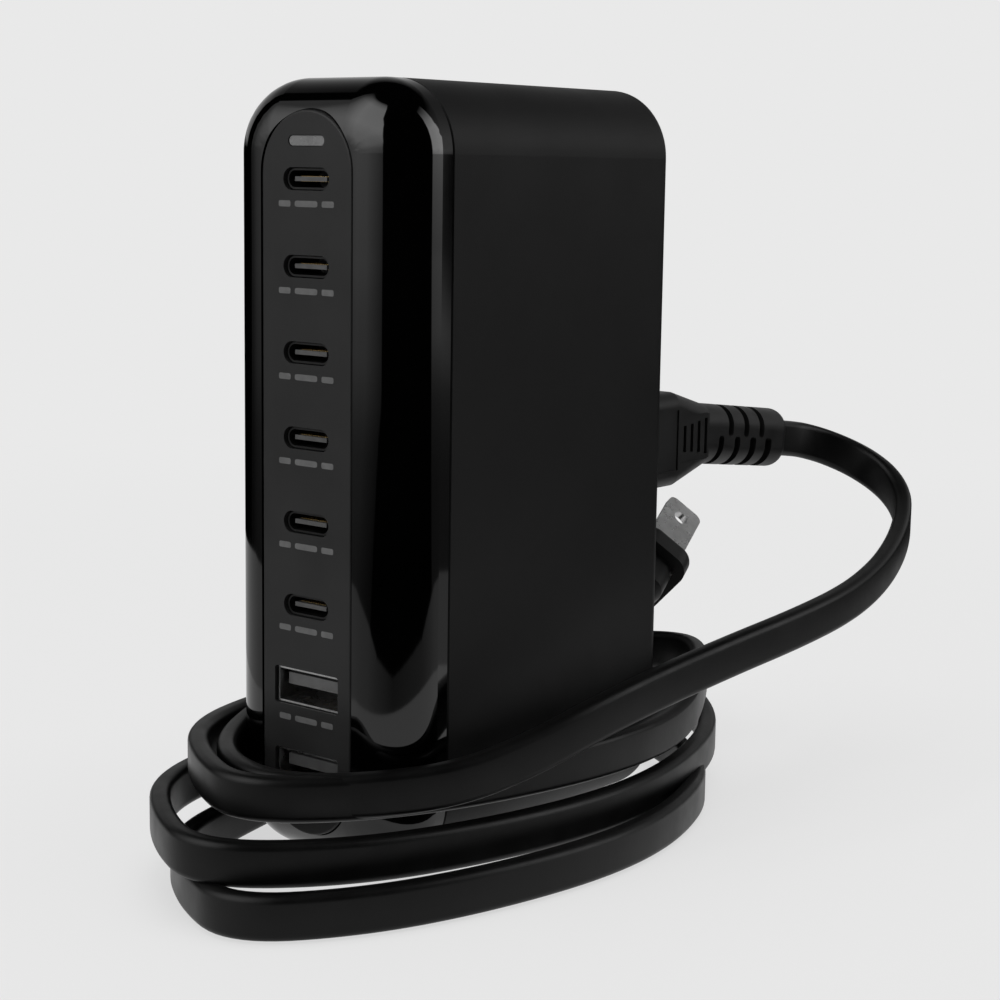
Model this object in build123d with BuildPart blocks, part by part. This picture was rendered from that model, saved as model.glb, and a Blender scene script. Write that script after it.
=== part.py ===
from build123d import *
import math
import os

os.makedirs("parts", exist_ok=True)

# Driving dimensions, in millimetres. The charger stands on its feet with the ports facing -Y,
# the power inlet facing +Y and the origin under the middle of the housing, on the surface.

# Housing
body_width = 38.0
body_depth = 69.5
body_height = 123.3
body_corner = 11.5
front_rounding = 9.5
rear_rounding = 2.2
front_depth = 12.0
front_wall = 3.0
side_wall = 2.0
rear_wall = 2.4
lip_depth = 3.0
lip_wall = 1.2
lip_clearance = 0.1
seam_chamfer = 0.25
cavity_rounding = 5.0

# Feet
foot_length = 16.0
foot_width = 11.0
foot_proud = 0.7
foot_recess = 0.6
foot_margin = 2.5

# Port panel
panel_width = 18.8
panel_end_margin = 5.15
panel_thickness = 2.0
panel_clearance = 0.25
panel_flange_rim = 1.9
panel_flange_end_setback = 2.5
panel_flange_thickness = 1.5
panel_edge = 0.35
port_end_margin = 10.3
usb_c_count = 6
usb_a_count = 2

# Status light
light_width = 7.3
light_height = 1.5
light_above_port = 5.7
light_clearance = 0.1
light_stem_width = 5.0
light_recess = 0.15

# USB-C sockets, to the standard's sizes
usb_c_width = 8.94
usb_c_height = 3.16
usb_c_wall = 0.3
usb_c_hole_width = 9.6
usb_c_hole_height = 3.45
usb_c_tongue_width = 6.69
usb_c_tongue_height = 0.7
usb_c_tongue_recess = 0.45
usb_c_base_depth = 3.6
usb_c_contact_count = 12
usb_c_contact_pitch = 0.5
usb_c_contact_width = 0.26
usb_c_contact_length = 3.2
usb_c_contact_thickness = 0.06
usb_c_contact_setback = 0.9

# USB-A sockets, to the standard's sizes
usb_a_width = 13.14
usb_a_height = 5.7
usb_a_wall = 0.31
usb_a_hole_width = 13.6
usb_a_hole_height = 6.0
usb_a_hole_corner = 0.5
usb_a_tongue_width = 11.1
usb_a_tongue_height = 1.84
usb_a_tongue_rise = 0.75
usb_a_tongue_recess = 1.3
usb_a_base_depth = 1.6
usb_a_contact_width = 1.0
usb_a_contact_length = 6.4
usb_a_contact_thickness = 0.12
usb_a_contact_setback = 0.6
usb_a_contact_places = (-3.5, -1.0, 1.0, 3.5)
usb_a_spring_width = 1.6
usb_a_spring_length = 3.0
usb_a_spring_rise = 0.45
usb_a_spring_setback = 1.2
usb_a_spring_place = 3.4
socket_setback = 0.6
socket_clearance = 0.03

# Boards and what they carry
port_board_clearance = 0.3
port_board_end_margin = 8.65
port_board_corner = 4.0
board_thickness = 1.6
port_board_depth = 10.7
post_radius = 2.0
post_wall = 1.0
post_side_margin = 2.2
post_end_margin = 2.6
screw_clearance = 0.05
screw_head_radius = 1.7
screw_head_height = 1.2
led_width = 3.2
led_height = 1.0
led_thickness = 0.7
main_board_gap = 3.0
main_board_end_margin = 8.65
main_board_front_gap = 3.4
main_board_rear_gap = 3.0
standoff_radius = 2.4
standoff_side_margin = 5.0
standoff_end_margin = 9.0
link_height = 12.0
link_drop = 32.0
link_thickness = 5.0
link_overlap = 3.0
transformer_length = 27.0
transformer_height = 26.0
transformer_thickness = 18.0
transformer_leg = 6.0
transformer_front_gap = 2.7
transformer_rise = 1.0
winding_clearance = 0.1
winding_corner = 2.0
winding_thickness = 23.0
capacitor_radius = 7.5
capacitor_length = 24.0
capacitor_edge = 0.8
capacitor_spacing = 16.5
capacitor_front_gap = 0.7
capacitor_drop = 0.6
choke_radius = 6.5
choke_bore = 2.6
choke_length = 11.0
choke_edge = 1.0
choke_rear_gap = 11.7
low_row_drop = 36.0
fuse_radius = 2.2
fuse_length = 12.0
fuse_cap_length = 2.4
fuse_cap_wall = 0.3
fuse_leg = 0.5
fuse_lift = 0.4
fuse_front_gap = 10.0
spreader_thickness = 1.2
spreader_side_margin = 4.2
spreader_end_margin = 8.0
spreader_corner = 3.0

# Power inlet, a two-pin figure-eight inlet standing on end
inlet_place = 8.0
inlet_pin_spacing = 8.6
inlet_pin_radius = 1.18
inlet_pin_length = 10.5
inlet_slot_radius = 4.05
inlet_depth = 16.0
inlet_floor = 3.0
inlet_wall = 1.3
inlet_flange = 1.6
inlet_flange_thickness = 1.2
inlet_clearance = 0.15
inlet_tag_length = 4.0

# Cord connector with its segmented strain relief
nose_clearance = 0.3
nose_length = 15.0
connector_height = 17.2
connector_thickness = 10.0
connector_length = 23.6
connector_straight = 13.6
connector_shoulder_radius = 5.0
connector_gap = 0.4
connector_edge = 2.6
contact_bore_radius = 1.5
contact_wall = 0.25
contact_length = 12.0
label_recess = 0.25
label_length = 9.6
label_height = 11.0
label_start = 3.6
grip_slot_width = 0.9
grip_slot_heights = (4.8, 5.2, 5.8, 6.6)
grip_slot_pitch = 2.3
grip_slot_depth = 0.7
grip_start = 15.6
pad_recess = 0.2
pad_start = 14.3
pad_length = 9.3
pad_height = 8.6
relief_length = 29.9
relief_height = 11.4
relief_thickness = 8.4
relief_corner = 4.1
relief_droop = 6.8
relief_slot_pitch = 5.5
relief_slot_width = 1.7
relief_slot_growth = 0.2
relief_slot_stagger = 0.55
relief_slot_reach = 1.0
relief_slot_corner = 0.7
relief_slot_start = 4.6
relief_top_slots = 3
relief_core_height = 7.4
relief_core_thickness = 4.6
relief_core_corner = 2.0
relief_end = 2.4
relief_overlap = 1.2

# Flat lead: a round tube of the lead's own volume stands for it where it lies free
lead_width = 7.0
lead_thickness = 3.3
lead_radius = 2.2
bend_share = 0.45
exit_run = 6.5
tail_run = 4.4

# Turns of the lead round the foot of the housing: centre x, centre y, half width, half length
bottom_turn = (5.5, -8.0, 34.5, 57.0)
middle_turn = (3.5, -0.5, 33.0, 65.5)
top_turn = (3.8, 4.5, 31.0, 61.5)
turn_overlap = 0.3

# Two-blade plug, lying behind the housing
plug_place = (-12.3, 75.0, 31.8)
plug_axis = (-0.29, 0.892, 0.348)
plug_side = (0.63, 0.452, -0.631)
plug_width = 20.0
plug_thickness = 12.6
plug_rim_length = 4.8
plug_grip_length = 7.2
plug_grip_width = 15.6
plug_grip_thickness = 9.0
plug_grip_corner = 3.0
plug_taper_length = 5.0
plug_neck_width = 8.6
plug_neck_thickness = 5.4
plug_neck_corner = 2.4
plug_relief_length = 7.5
plug_corner = 3.6
plug_edge = 1.0
plug_slot_count = 3
plug_slot_width = 1.2
plug_slot_depth = 0.9
plug_slot_corner = 1.3
blade_spacing = 12.7
blade_widths = (7.94, 6.35)
blade_thickness = 1.5
blade_length = 16.5
blade_root = 6.0
blade_hole_radius = 1.6
blade_hole_place = 11.9
blade_corner = 1.6

# Worked out from the driving dimensions
front_y = -body_depth / 2
rear_y = body_depth / 2
seam_y = front_y + front_depth
middle_z = foot_proud + body_height / 2
top_z = foot_proud + body_height
inner_width = body_width - 2 * side_wall
inner_height = body_height - 2 * side_wall
inner_corner = body_corner - side_wall
flange_y = front_y + front_wall
flange_back_y = flange_y + panel_flange_thickness
socket_y = front_y + socket_setback
board_y = front_y + port_board_depth
panel_height = body_height - 2 * panel_end_margin
panel_flange_width = panel_width + 2 * panel_flange_rim
panel_flange_height = panel_height - 2 * panel_flange_end_setback
port_count = usb_c_count + usb_a_count
port_pitch = (panel_height - 2 * port_end_margin) / (port_count - 1)
first_port_z = middle_z + (port_count - 1) * port_pitch / 2
port_heights = [first_port_z - index * port_pitch for index in range(port_count)]
usb_c_heights = port_heights[:usb_c_count]
usb_a_heights = port_heights[usb_c_count:]
light_z = first_port_z + light_above_port
main_board_x = -inner_width / 2 + main_board_gap
main_board_face_x = main_board_x + board_thickness
main_board_front_y = board_y + board_thickness + main_board_front_gap
main_board_rear_y = rear_y - rear_wall - main_board_rear_gap
main_board_length = main_board_rear_y - main_board_front_y
main_board_height = body_height - 2 * main_board_end_margin
main_board_middle_y = (main_board_rear_y + main_board_front_y) / 2
lip_width = inner_width - 2 * lip_clearance
lip_height = inner_height - 2 * lip_clearance
lip_corner = inner_corner - lip_clearance
port_board_width = lip_width - 2 * (lip_wall + port_board_clearance)
port_board_height = body_height - 2 * port_board_end_margin
post_x = port_board_width / 2 - post_side_margin
post_z = port_board_height / 2 - post_end_margin
post_places = [(x, middle_z + z) for x in (-post_x, post_x) for z in (-post_z, post_z)]
inlet_outer_radius = inlet_slot_radius + inlet_wall
inlet_half_height = inlet_pin_spacing / 2 + inlet_outer_radius


def facing_front(y):
    """A plane across the housing at depth y, seen from the front."""
    return Plane(origin=(0, y, 0), x_dir=(1, 0, 0), z_dir=(0, -1, 0))


def facing_right(x):
    """A plane along the housing at x, seen from the right, with Y across and Z up."""
    return Plane(origin=(x, 0, 0), x_dir=(0, 1, 0), z_dir=(1, 0, 0))


def finish(piece, name):
    """Gives a finished piece its name and writes it."""
    piece.label = name
    export_step(piece, f"parts/{name}.step")


# Gloss front housing: a deep cap with one large rounding all round its face
with BuildPart() as front_cavity:
    with BuildSketch(facing_front(flange_y)):
        with Locations((0, middle_z)):
            RectangleRounded(inner_width, inner_height, inner_corner)
    extrude(amount=-(front_depth - front_wall))
    fillet(front_cavity.faces().sort_by(Axis.Y)[0].edges(), cavity_rounding)

with BuildPart() as front_housing:
    with BuildSketch(facing_front(front_y)):
        with Locations((0, middle_z)):
            RectangleRounded(body_width, body_height, body_corner)
    extrude(amount=-front_depth)
    fillet(front_housing.faces().sort_by(Axis.Y)[0].edges(), front_rounding)
    chamfer(front_housing.faces().sort_by(Axis.Y)[-1].edges(), seam_chamfer)
    add(front_cavity.part, mode=Mode.SUBTRACT)
    with BuildSketch(facing_front(seam_y + lip_depth)):
        with Locations((0, middle_z)):
            RectangleRounded(lip_width, lip_height, lip_corner)
            RectangleRounded(
                lip_width - 2 * lip_wall, lip_height - 2 * lip_wall, lip_corner - lip_wall, mode=Mode.SUBTRACT
            )
    extrude(amount=lip_depth + lip_wall)
    with BuildSketch(facing_front(board_y)):
        with Locations(*post_places):
            Circle(post_radius)
    extrude(amount=port_board_depth - front_wall - post_wall)
    with BuildSketch(facing_front(front_y)):
        with Locations((0, middle_z)):
            SlotOverall(panel_height + 2 * panel_clearance, panel_width + 2 * panel_clearance, rotation=90)
    extrude(amount=-front_wall, mode=Mode.SUBTRACT)
finish(front_housing.part, "front_housing")

# Port panel: a flat pill-shaped plate with a flange that seats behind the front housing
with BuildPart() as port_panel:
    with BuildSketch(facing_front(front_y)):
        with Locations((0, middle_z)):
            SlotOverall(panel_height, panel_width, rotation=90)
    extrude(amount=-front_wall)
    fillet(port_panel.faces().sort_by(Axis.Y)[0].edges(), panel_edge)
    with BuildSketch(facing_front(flange_y)):
        with Locations((0, middle_z)):
            SlotOverall(panel_flange_height, panel_flange_width, rotation=90)
    extrude(amount=-panel_flange_thickness)
    with BuildSketch(facing_front(front_y)):
        with Locations(*[(0, z) for z in usb_c_heights]):
            SlotOverall(usb_c_hole_width, usb_c_hole_height)
        with Locations(*[(0, z) for z in usb_a_heights]):
            RectangleRounded(usb_a_hole_width, usb_a_hole_height, usb_a_hole_corner)
        with Locations((0, light_z)):
            SlotOverall(light_width + 2 * light_clearance, light_height + 2 * light_clearance)
    extrude(amount=-(front_wall + panel_flange_thickness), mode=Mode.SUBTRACT)
finish(port_panel.part, "port_panel")

# Status light: a clear window with a stem that leads the light from the board
with BuildPart() as status_light_lens:
    with BuildSketch(facing_front(front_y + light_recess)):
        with Locations((0, light_z)):
            SlotOverall(light_width, light_height)
    extrude(amount=-(front_wall + panel_flange_thickness - light_recess))
    with BuildSketch(facing_front(flange_y)):
        with Locations((0, light_z)):
            Rectangle(light_stem_width, led_height)
    extrude(amount=-(board_y - led_thickness - flange_y))
finish(status_light_lens.part, "status_light_lens")

with BuildPart() as indicator_led:
    with BuildSketch(facing_front(board_y - led_thickness)):
        with Locations((0, light_z)):
            Rectangle(led_width, led_height)
    extrude(amount=-led_thickness)
finish(indicator_led.part, "indicator_led")

# Main sleeve: one rounded tube from the seam to the rear, with pockets for the feet
foot_places = [seam_y + foot_margin + foot_length / 2, rear_y - rear_rounding - foot_margin - foot_length / 2]
with BuildPart() as main_sleeve:
    with BuildSketch(facing_front(seam_y)):
        with Locations((0, middle_z)):
            RectangleRounded(body_width, body_height, body_corner)
    extrude(amount=-(rear_y - seam_y))
    fillet(main_sleeve.faces().sort_by(Axis.Y)[-1].edges(), rear_rounding)
    chamfer(main_sleeve.faces().sort_by(Axis.Y)[0].edges(), seam_chamfer)
    with BuildSketch(facing_front(seam_y)):
        with Locations((0, middle_z)):
            RectangleRounded(inner_width, inner_height, inner_corner)
    extrude(amount=-(rear_y - seam_y), mode=Mode.SUBTRACT)
    with BuildSketch(Plane.XY.offset(foot_proud)):
        with Locations(*[(0, y) for y in foot_places]):
            RectangleRounded(foot_width + 0.2, foot_length + 0.2, 2.1)
    extrude(amount=foot_recess, mode=Mode.SUBTRACT)
finish(main_sleeve.part, "main_sleeve")

for name, y in zip(("front_foot", "rear_foot"), foot_places):
    with BuildPart() as foot:
        with BuildSketch(Plane.XY):
            with Locations((0, y)):
                RectangleRounded(foot_width, foot_length, 2.0)
        extrude(amount=foot_proud + foot_recess)
        chamfer(foot.faces().sort_by(Axis.Z)[0].edges(), 0.2)
    finish(foot.part, name)

# Rear cover: a plate set into the sleeve, with the window for the power inlet
with BuildPart() as rear_cover:
    with BuildSketch(facing_front(rear_y - rear_wall)):
        with Locations((0, middle_z)):
            RectangleRounded(lip_width, lip_height, lip_corner)
        with Locations((inlet_place, middle_z)):
            SlotCenterToCenter(
                inlet_pin_spacing, 2 * (inlet_outer_radius + inlet_clearance), rotation=90, mode=Mode.SUBTRACT
            )
    extrude(amount=-(rear_wall - 0.3))
finish(rear_cover.part, "rear_cover")

# Power inlet: a figure-eight cup with a flange behind the rear cover
inlet_mouth_y = rear_y - 0.3
inlet_back_y = inlet_mouth_y - inlet_depth - inlet_floor
pin_heights = (middle_z - inlet_pin_spacing / 2, middle_z + inlet_pin_spacing / 2)
with BuildPart() as power_inlet:
    with BuildSketch(facing_front(inlet_back_y)):
        with Locations((inlet_place, middle_z)):
            SlotCenterToCenter(inlet_pin_spacing, 2 * inlet_outer_radius, rotation=90)
    extrude(amount=-(inlet_depth + inlet_floor))
    with BuildSketch(facing_front(rear_y - rear_wall - inlet_flange_thickness)):
        with Locations((inlet_place, middle_z)):
            SlotCenterToCenter(inlet_pin_spacing, 2 * (inlet_outer_radius + inlet_flange), rotation=90)
    extrude(amount=-inlet_flange_thickness)
    with BuildSketch(facing_front(inlet_back_y + inlet_floor)):
        with Locations((inlet_place, middle_z)):
            SlotCenterToCenter(inlet_pin_spacing, 2 * inlet_slot_radius, rotation=90)
    extrude(amount=-inlet_depth, mode=Mode.SUBTRACT)
    with BuildSketch(facing_front(inlet_back_y)):
        with Locations(*[(inlet_place, z) for z in pin_heights]):
            Circle(inlet_pin_radius)
    extrude(amount=-inlet_floor, mode=Mode.SUBTRACT)
finish(power_inlet.part, "power_inlet")

with BuildPart() as inlet_pins:
    with BuildSketch(facing_front(inlet_back_y - inlet_tag_length)):
        with Locations(*[(inlet_place, z) for z in pin_heights]):
            Circle(inlet_pin_radius)
    extrude(amount=-(inlet_tag_length + inlet_floor + inlet_pin_length))
    pin_tips = inlet_pins.faces().sort_by(Axis.Y)[-2:]
    chamfer(pin_tips.edges(), 0.4)
finish(inlet_pins.part, "inlet_pins")

# USB-C sockets: a drawn steel shell, a moulded tongue on its base and two rows of contacts
contact_middle = (usb_c_contact_count - 1) / 2
contact_row = [(index - contact_middle) * usb_c_contact_pitch for index in range(usb_c_contact_count)]
for number, z in enumerate(usb_c_heights, start=1):
    with BuildPart() as usb_c_shell:
        with BuildSketch(facing_front(socket_y)):
            with Locations((0, z)):
                SlotOverall(usb_c_width, usb_c_height)
                SlotOverall(usb_c_width - 2 * usb_c_wall, usb_c_height - 2 * usb_c_wall, mode=Mode.SUBTRACT)
        extrude(amount=-(board_y - socket_y))
    finish(usb_c_shell.part, f"usb_c_shell_{number}")

    with BuildPart() as usb_c_tongue:
        with BuildSketch(facing_front(board_y - usb_c_base_depth)):
            with Locations((0, z)):
                SlotOverall(
                    usb_c_width - 2 * (usb_c_wall + socket_clearance),
                    usb_c_height - 2 * (usb_c_wall + socket_clearance),
                )
        extrude(amount=-usb_c_base_depth)
        with BuildSketch(facing_front(socket_y + usb_c_tongue_recess)):
            with Locations((0, z)):
                Rectangle(usb_c_tongue_width, usb_c_tongue_height)
        extrude(amount=-(board_y - socket_y - usb_c_tongue_recess))
    finish(usb_c_tongue.part, f"usb_c_tongue_{number}")

    contact_z = usb_c_tongue_height / 2 + usb_c_contact_thickness / 2
    with BuildPart() as usb_c_contacts:
        with BuildSketch(facing_front(socket_y + usb_c_tongue_recess + usb_c_contact_setback)):
            with Locations(*[(x, z + side * contact_z) for x in contact_row for side in (-1, 1)]):
                Rectangle(usb_c_contact_width, usb_c_contact_thickness)
        extrude(amount=-usb_c_contact_length)
    finish(usb_c_contacts.part, f"usb_c_contacts_{number}")

# USB-A sockets: a folded steel shell with pressed springs, a moulded tongue and four contacts
for number, z in enumerate(usb_a_heights, start=1):
    inner_half = usb_a_height / 2 - usb_a_wall
    with BuildPart() as usb_a_shell:
        with BuildSketch(facing_front(socket_y)):
            with Locations((0, z)):
                Rectangle(usb_a_width, usb_a_height)
                Rectangle(usb_a_width - 2 * usb_a_wall, usb_a_height - 2 * usb_a_wall, mode=Mode.SUBTRACT)
        extrude(amount=-(board_y - socket_y))
        for side, place in ((-1, -1), (-1, 1), (1, -1), (1, 1)):
            spring_y = socket_y + usb_a_spring_setback
            wall_z = z + side * inner_half
            with BuildSketch(facing_right(place * usb_a_spring_place - usb_a_spring_width / 2)):
                with BuildLine():
                    Polyline(
                        (spring_y, wall_z),
                        (spring_y + usb_a_spring_length / 2, wall_z - side * usb_a_spring_rise),
                        (spring_y + usb_a_spring_length, wall_z),
                        (spring_y + usb_a_spring_length, wall_z + side * usb_a_wall / 2),
                        (spring_y, wall_z + side * usb_a_wall / 2),
                        close=True,
                    )
                make_face()
            extrude(amount=usb_a_spring_width)
    finish(usb_a_shell.part, f"usb_a_shell_{number}")

    with BuildPart() as usb_a_tongue:
        with BuildSketch(facing_front(board_y - usb_a_base_depth)):
            with Locations((0, z)):
                Rectangle(
                    usb_a_width - 2 * (usb_a_wall + socket_clearance),
                    usb_a_height - 2 * (usb_a_wall + socket_clearance),
                )
        extrude(amount=-usb_a_base_depth)
        with BuildSketch(facing_front(socket_y + usb_a_tongue_recess)):
            with Locations((0, z + usb_a_tongue_rise)):
                Rectangle(usb_a_tongue_width, usb_a_tongue_height)
        extrude(amount=-(board_y - socket_y - usb_a_tongue_recess))
    finish(usb_a_tongue.part, f"usb_a_tongue_{number}")

    contact_z = z + usb_a_tongue_rise - usb_a_tongue_height / 2 - usb_a_contact_thickness / 2
    with BuildPart() as usb_a_contacts:
        with BuildSketch(facing_front(socket_y + usb_a_tongue_recess + usb_a_contact_setback)):
            with Locations(*[(x, contact_z) for x in usb_a_contact_places]):
                Rectangle(usb_a_contact_width, usb_a_contact_thickness)
        extrude(amount=-usb_a_contact_length)
    finish(usb_a_contacts.part, f"usb_a_contacts_{number}")

# Port board behind the sockets, screwed to the posts of the front housing
with BuildPart() as port_board:
    with BuildSketch(facing_front(board_y)):
        with Locations((0, middle_z)):
            RectangleRounded(port_board_width, port_board_height, port_board_corner)
    extrude(amount=-board_thickness)
    with BuildSketch(facing_front(board_y)):
        with Locations(*post_places):
            Circle(post_radius / 2)
    extrude(amount=-board_thickness, mode=Mode.SUBTRACT)
finish(port_board.part, "port_board")

with BuildPart() as board_screws:
    with BuildSketch(facing_front(board_y + board_thickness)):
        with Locations(*post_places):
            Circle(screw_head_radius)
    extrude(amount=-screw_head_height)
    with BuildSketch(facing_front(board_y + board_thickness)):
        with Locations(*post_places):
            Circle(post_radius / 2 - screw_clearance)
    extrude(amount=board_thickness)
finish(board_screws.part, "board_screws")

# Main board, held off the left wall by four standoffs
standoff_y = main_board_length / 2 - standoff_side_margin
standoff_z = main_board_height / 2 - standoff_end_margin
standoff_places = [
    (main_board_middle_y + y, middle_z + z)
    for y in (-standoff_y, standoff_y)
    for z in (-standoff_z, standoff_z)
]
with BuildPart() as main_board:
    with BuildSketch(facing_right(main_board_x)):
        with Locations((main_board_middle_y, middle_z)):
            Rectangle(main_board_length, main_board_height)
    extrude(amount=board_thickness)
finish(main_board.part, "main_board")

with BuildPart() as board_standoffs:
    with BuildSketch(facing_right(main_board_x)):
        with Locations(*standoff_places):
            Circle(standoff_radius)
    extrude(amount=-main_board_gap)
finish(board_standoffs.part, "board_standoffs")

link_y = main_board_front_y + (link_overlap - main_board_front_gap) / 2
with BuildPart() as board_link:
    with BuildSketch(facing_right(main_board_face_x)):
        with Locations((link_y, middle_z - link_drop)):
            Rectangle(main_board_front_gap + link_overlap, link_height)
    extrude(amount=link_thickness)
finish(board_link.part, "board_link")

# Transformer: ferrite core round a taped winding
transformer_y = main_board_front_y + transformer_front_gap + transformer_length / 2
transformer_z = middle_z + inlet_half_height + transformer_rise + transformer_height / 2
window_length = transformer_length - 2 * transformer_leg
window_height = transformer_height - 2 * transformer_leg
with BuildPart() as transformer_core:
    with BuildSketch(facing_right(main_board_face_x)):
        with Locations((transformer_y, transformer_z)):
            Rectangle(transformer_length, transformer_height)
            Rectangle(window_length, window_height, mode=Mode.SUBTRACT)
    extrude(amount=transformer_thickness)
finish(transformer_core.part, "transformer_core")

with BuildPart() as transformer_winding:
    with BuildSketch(facing_right(main_board_face_x)):
        with Locations((transformer_y, transformer_z)):
            RectangleRounded(
                window_length - 2 * winding_clearance, window_height - 2 * winding_clearance, winding_corner
            )
    extrude(amount=winding_thickness)
finish(transformer_winding.part, "transformer_winding")

# Bulk capacitors, choke and fuse on the main board
capacitor_z = middle_z - inlet_half_height - capacitor_drop - capacitor_radius
first_capacitor_y = main_board_front_y + capacitor_front_gap + capacitor_radius
for number in (1, 2):
    capacitor_y = first_capacitor_y + (number - 1) * capacitor_spacing
    with BuildPart() as bulk_capacitor:
        with BuildSketch(facing_right(main_board_face_x)):
            with Locations((capacitor_y, capacitor_z)):
                Circle(capacitor_radius)
        extrude(amount=capacitor_length)
        fillet(bulk_capacitor.faces().sort_by(Axis.X)[-1].edges(), capacitor_edge)
    finish(bulk_capacitor.part, f"bulk_capacitor_{number}")

choke_place = (main_board_rear_y - choke_rear_gap - choke_radius, middle_z - low_row_drop)
with BuildPart() as input_choke:
    with BuildSketch(facing_right(main_board_face_x)):
        with Locations(choke_place):
            Circle(choke_radius)
            Circle(choke_bore, mode=Mode.SUBTRACT)
    extrude(amount=choke_length)
    fillet(input_choke.faces().sort_by(Axis.X)[-1].edges(), choke_edge)
finish(input_choke.part, "input_choke")

fuse_axis_x = main_board_face_x + fuse_radius + fuse_lift
fuse_middle = (main_board_front_y + fuse_front_gap + fuse_radius, middle_z - low_row_drop)
with BuildPart() as fuse:
    with BuildSketch(Plane.XY.offset(fuse_middle[1] - fuse_length / 2)):
        with Locations((fuse_axis_x, fuse_middle[0])):
            Circle(fuse_radius - fuse_cap_wall)
    extrude(amount=fuse_length)
    for start in (-fuse_length / 2, fuse_length / 2 - fuse_cap_length):
        with BuildSketch(Plane.XY.offset(fuse_middle[1] + start)):
            with Locations((fuse_axis_x, fuse_middle[0])):
                Circle(fuse_radius)
        extrude(amount=fuse_cap_length)
        with BuildSketch(Plane.XY.offset(fuse_middle[1] + start + fuse_cap_length / 2 - fuse_leg)):
            with Locations(((fuse_axis_x + main_board_face_x) / 2, fuse_middle[0])):
                Rectangle(fuse_axis_x - main_board_face_x, 2 * fuse_leg)
        extrude(amount=2 * fuse_leg)
finish(fuse.part, "fuse")

# Heat spreader: an aluminium sheet bonded to the right wall
with BuildPart() as heat_spreader:
    with BuildSketch(facing_right(inner_width / 2)):
        with Locations((main_board_middle_y, middle_z)):
            RectangleRounded(
                main_board_length - 2 * spreader_side_margin,
                main_board_height - 2 * spreader_end_margin,
                spreader_corner,
            )
    extrude(amount=-spreader_thickness)
finish(heat_spreader.part, "heat_spreader")

# Cord connector: overmould, nose and segmented strain relief moulded in one piece
connector_y = rear_y + connector_gap
relief_y = connector_y + connector_length
nose_radius = inlet_slot_radius - nose_clearance
half_height = connector_height / 2
half_relief = relief_height / 2
droop = math.radians(relief_droop)
relief_plane = Plane(
    origin=(inlet_place, relief_y, middle_z), x_dir=(1, 0, 0), z_dir=(0, math.cos(droop), -math.sin(droop))
)
relief_root = relief_plane.from_local_coords((0, 0, -relief_overlap))
relief_base = Plane(relief_root, x_dir=(1, 0, 0), z_dir=relief_plane.z_dir)
relief_side = Plane(origin=relief_plane.origin, x_dir=relief_plane.z_dir, z_dir=(1, 0, 0))

with BuildPart() as cord_connector:
    with BuildSketch(facing_right(inlet_place - connector_thickness / 2)) as connector_sketch:
        with BuildLine():
            Polyline(
                (connector_y, middle_z - half_height),
                (connector_y, middle_z + half_height),
                (connector_y + connector_straight, middle_z + half_height),
                (relief_y, middle_z + half_relief),
                (relief_y, middle_z - half_relief),
                (connector_y + connector_straight, middle_z - half_height),
                close=True,
            )
        make_face()
        shoulders = connector_sketch.vertices().filter_by(
            lambda corner: abs(corner.Y - connector_y - connector_straight) < 0.01
        )
        fillet(shoulders, connector_shoulder_radius)
    extrude(amount=connector_thickness)
    long_edges = [
        edge
        for edge in cord_connector.edges()
        if abs(edge.center().Z - middle_z) > half_relief - 1.0 and abs(edge.center().X - inlet_place) > 1.0
    ]
    fillet(long_edges, connector_edge)
    with BuildSketch(facing_front(connector_y - nose_length)):
        with Locations((inlet_place, middle_z)):
            SlotCenterToCenter(inlet_pin_spacing, 2 * nose_radius, rotation=90)
    extrude(amount=-(nose_length + 1.0))
    with BuildSketch(relief_base):
        RectangleRounded(relief_thickness, relief_height, relief_corner)
    extrude(amount=relief_length + relief_overlap)
    fillet(cord_connector.faces().sort_by(Axis.Y)[-1].edges(), relief_end)
    slot_height = half_relief + relief_slot_reach
    with BuildSketch(relief_side):
        for index in range(relief_top_slots + 1):
            width = relief_slot_width + index * relief_slot_growth
            with Locations((relief_slot_start + index * relief_slot_pitch + width / 2, -slot_height / 2)):
                RectangleRounded(width, slot_height, relief_slot_corner)
        for index in range(relief_top_slots):
            place = relief_slot_start + (index + relief_slot_stagger) * relief_slot_pitch
            with Locations((place + relief_slot_width / 2, slot_height / 2)):
                RectangleRounded(relief_slot_width, slot_height, relief_slot_corner)
    extrude(amount=relief_thickness, both=True, mode=Mode.SUBTRACT)
    with BuildSketch(relief_plane):
        RectangleRounded(relief_core_thickness, relief_core_height, relief_core_corner)
    extrude(amount=relief_length - relief_end)
    for side in (-1, 1):
        face_x = inlet_place + side * connector_thickness / 2
        with BuildSketch(facing_right(face_x)):
            with Locations((connector_y + label_start + label_length / 2, middle_z)):
                Rectangle(label_length, label_height)
        extrude(amount=-side * label_recess, mode=Mode.SUBTRACT)
        with BuildSketch(facing_right(face_x)):
            with Locations((connector_y + pad_start + pad_length / 2, middle_z)):
                Rectangle(pad_length, pad_height)
        extrude(amount=-side * pad_recess, mode=Mode.SUBTRACT)
        with BuildSketch(facing_right(face_x)):
            for index, height in enumerate(grip_slot_heights):
                with Locations((connector_y + grip_start + index * grip_slot_pitch, middle_z)):
                    Rectangle(grip_slot_width, height)
        extrude(amount=-side * grip_slot_depth, mode=Mode.SUBTRACT)
    with BuildSketch(facing_front(connector_y - nose_length)):
        with Locations(*[(inlet_place, z) for z in pin_heights]):
            Circle(contact_bore_radius)
    extrude(amount=-contact_length, mode=Mode.SUBTRACT)
finish(cord_connector.part, "cord_connector")

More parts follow.
